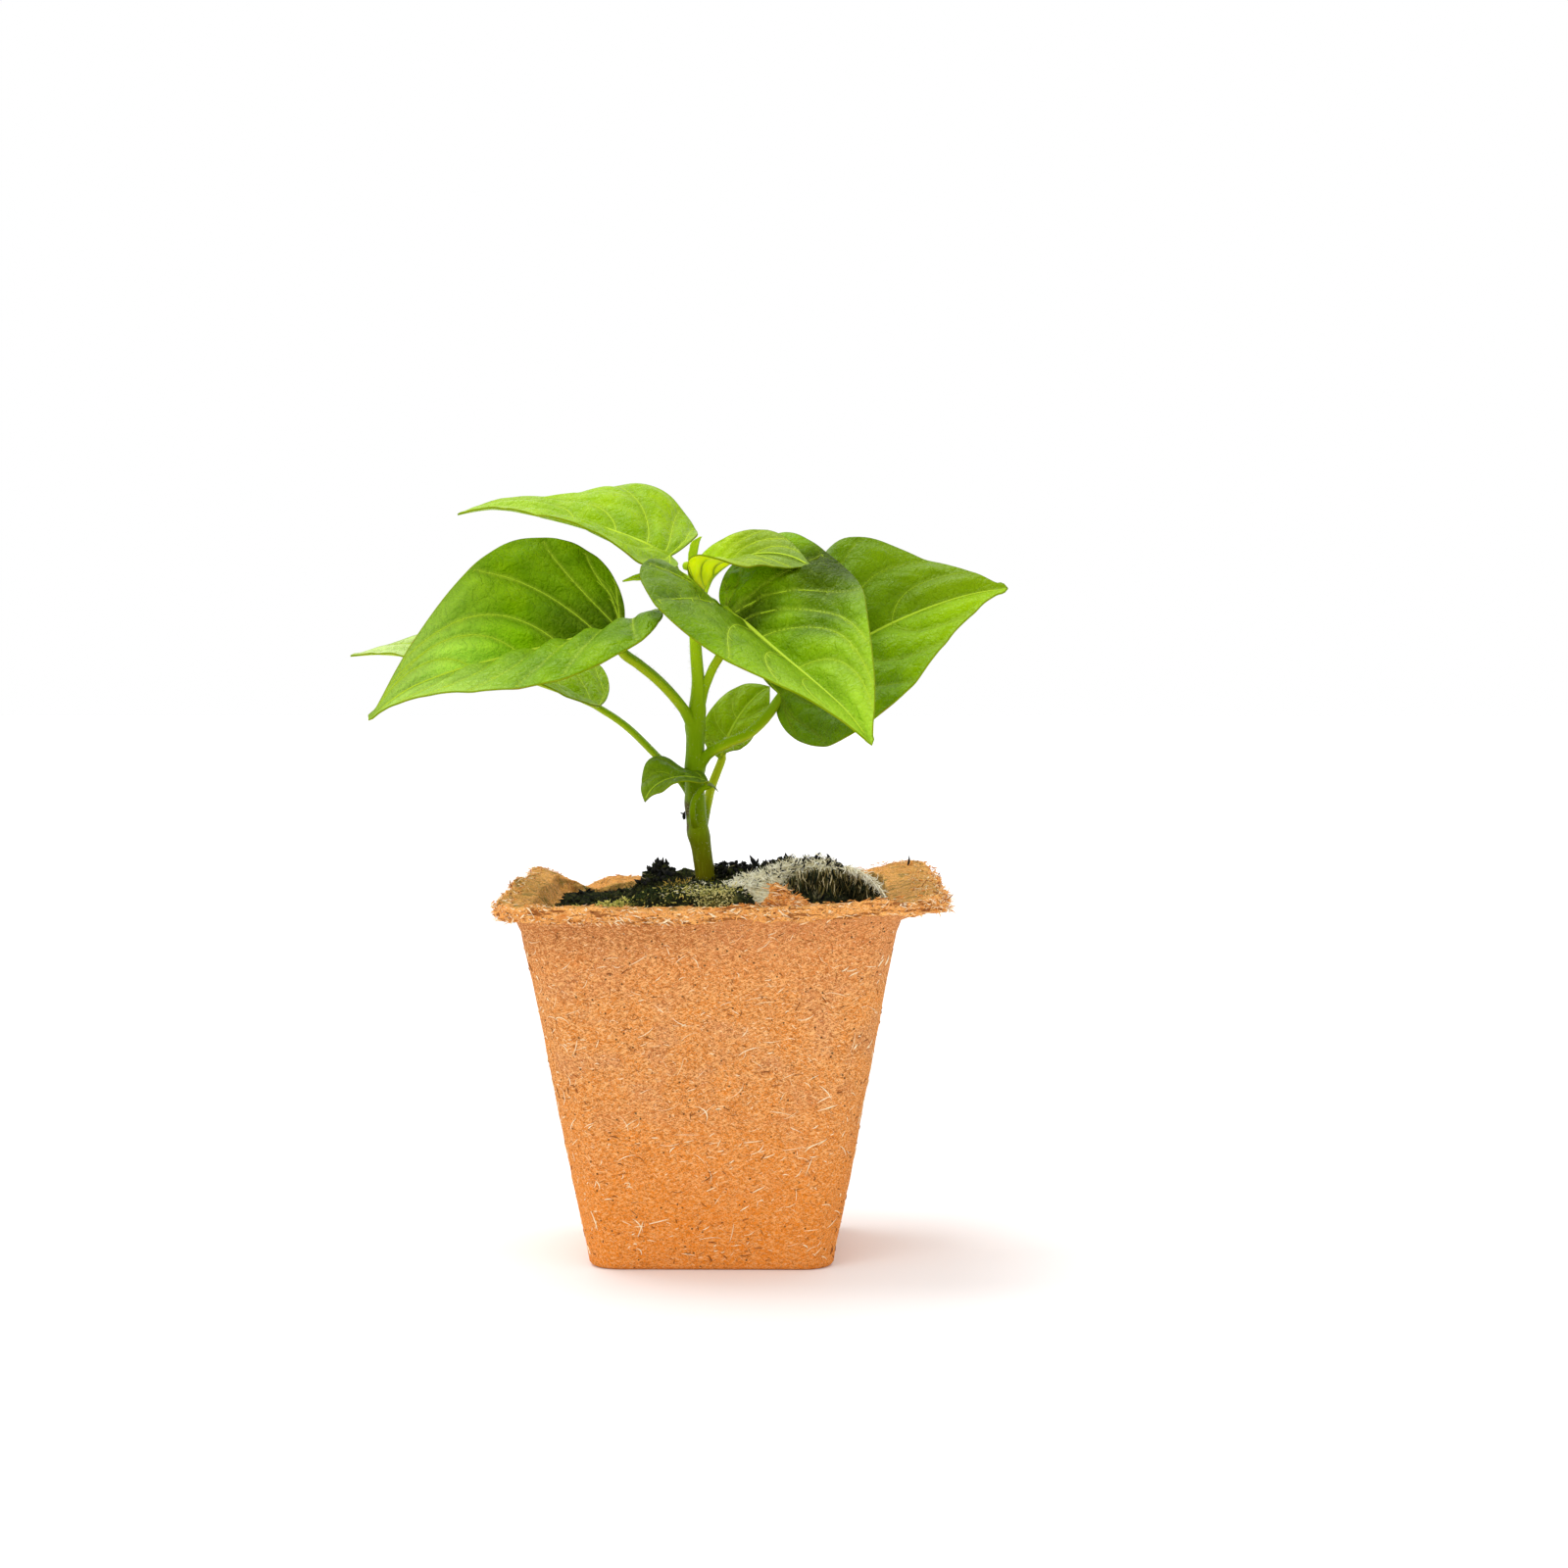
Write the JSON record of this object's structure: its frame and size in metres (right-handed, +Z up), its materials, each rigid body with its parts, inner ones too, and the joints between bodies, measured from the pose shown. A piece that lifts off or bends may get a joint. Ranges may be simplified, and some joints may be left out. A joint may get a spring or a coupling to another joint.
{
  "type": "potted chilli pepper plant",
  "caption": "Young chilli pepper plant with broad green leaves on a slim stem, growing in a square tapered pot of pressed fibre filled with soil.",
  "frame": {"origin": "middle of the pot's flat base, on the surface it stands on", "axes": "+Z up; -Y towards the front, the side the picture shows; +X to the right seen from the front"},
  "size_m": [0.1497, 0.0943, 0.1722],
  "materials": {
    "pressed_fibre": "matte",
    "soil": "matte",
    "stem": "satin",
    "leaf": "satin"
  },
  "bodies": {
    "root": {"pot": "pressed_fibre", "soil": "soil", "stem": "stem", "leaf_left_front": "leaf", "leaf_left_back": "leaf", "leaf_top_left": "leaf", "leaf_front": "leaf", "leaf_right": "leaf", "leaf_top_right": "leaf", "seed_leaf_front": "leaf", "seed_leaf_back": "leaf", "growing_tip": "leaf"}
  },
  "joints": []
}
